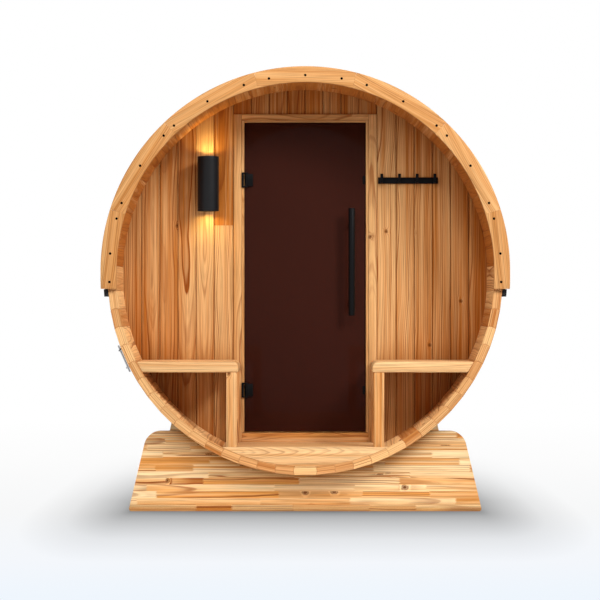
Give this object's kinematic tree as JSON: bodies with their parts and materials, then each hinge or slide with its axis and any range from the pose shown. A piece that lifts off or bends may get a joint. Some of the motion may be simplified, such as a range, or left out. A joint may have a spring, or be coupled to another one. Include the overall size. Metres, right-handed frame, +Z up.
{
  "type": "barrel sauna",
  "caption": "Barrel-shaped timber sauna on two cradles, with an open front porch, porch benches, a hinged tinted glass door and a dark roof covering.",
  "frame": {"origin": "on the ground, at the middle of the footprint", "axes": "+X right seen from the porch, +Y from the porch to the rear, +Z up"},
  "size_m": [1.894, 2.482, 2.07],
  "materials": {
    "stave_wood": "satin softwood",
    "wall_wood": "satin softwood boards",
    "trim_wood": "satin softwood",
    "floor_wood": "satin softwood boards",
    "bench_wood": "satin softwood",
    "cradle_wood": "glue-laminated softwood",
    "tinted_glass": "polished dark bronze tint",
    "black_metal": "matt black powder coat",
    "steel": "brushed stainless",
    "roofing": "mineral-surfaced bitumen shingles",
    "lamp_lens": "frosted, lit"
  },
  "bodies": {
    "root": {"cradle_front": "cradle_wood", "cradle_rear": "cradle_wood", "staves_bottom": "stave_wood", "staves_left_1": "stave_wood", "staves_left_2": "stave_wood", "staves_left_3": "stave_wood", "staves_left_4": "stave_wood", "staves_right_1": "stave_wood", "staves_right_2": "stave_wood", "staves_right_3": "stave_wood", "staves_right_4": "stave_wood", "band_front": "steel", "band_middle": "steel", "band_rear": "steel", "roof_left": "roofing", "roof_right": "roofing", "arch_front": "trim_wood", "arch_rear": "trim_wood", "front_wall_left": "wall_wood", "front_wall_right": "wall_wood", "front_wall_over_door": "wall_wood", "front_wall_under_door": "wall_wood", "rear_wall": "wall_wood", "door_jamb_left": "trim_wood", "door_jamb_right": "trim_wood", "door_head": "trim_wood", "door_sill": "trim_wood", "hinge_leaves": "black_metal", "porch_floor": "floor_wood", "porch_kickboard": "floor_wood", "cabin_floor": "floor_wood", "bench_seat_left": "bench_wood", "bench_seat_right": "bench_wood", "bench_legs_left": "bench_wood", "bench_legs_right": "bench_wood", "wall_lamp": "black_metal", "lamp_bracket": "black_metal", "lamp_lenses": "lamp_lens", "hook_rail": "black_metal", "coat_hooks": "black_metal"},
    "door": {"door_glass": "tinted_glass", "door_handle": "black_metal", "handle_standoffs": "black_metal", "hinge_clamps": "black_metal", "door_catches": "black_metal"}
  },
  "joints": [
    {"name": "door_hinge", "type": "hinge", "parent": "root", "child": "door", "pos_m": [-0.281, -0.87, 1.06], "axis": [0, 0, -1], "range_deg": [0, 90]}
  ]
}
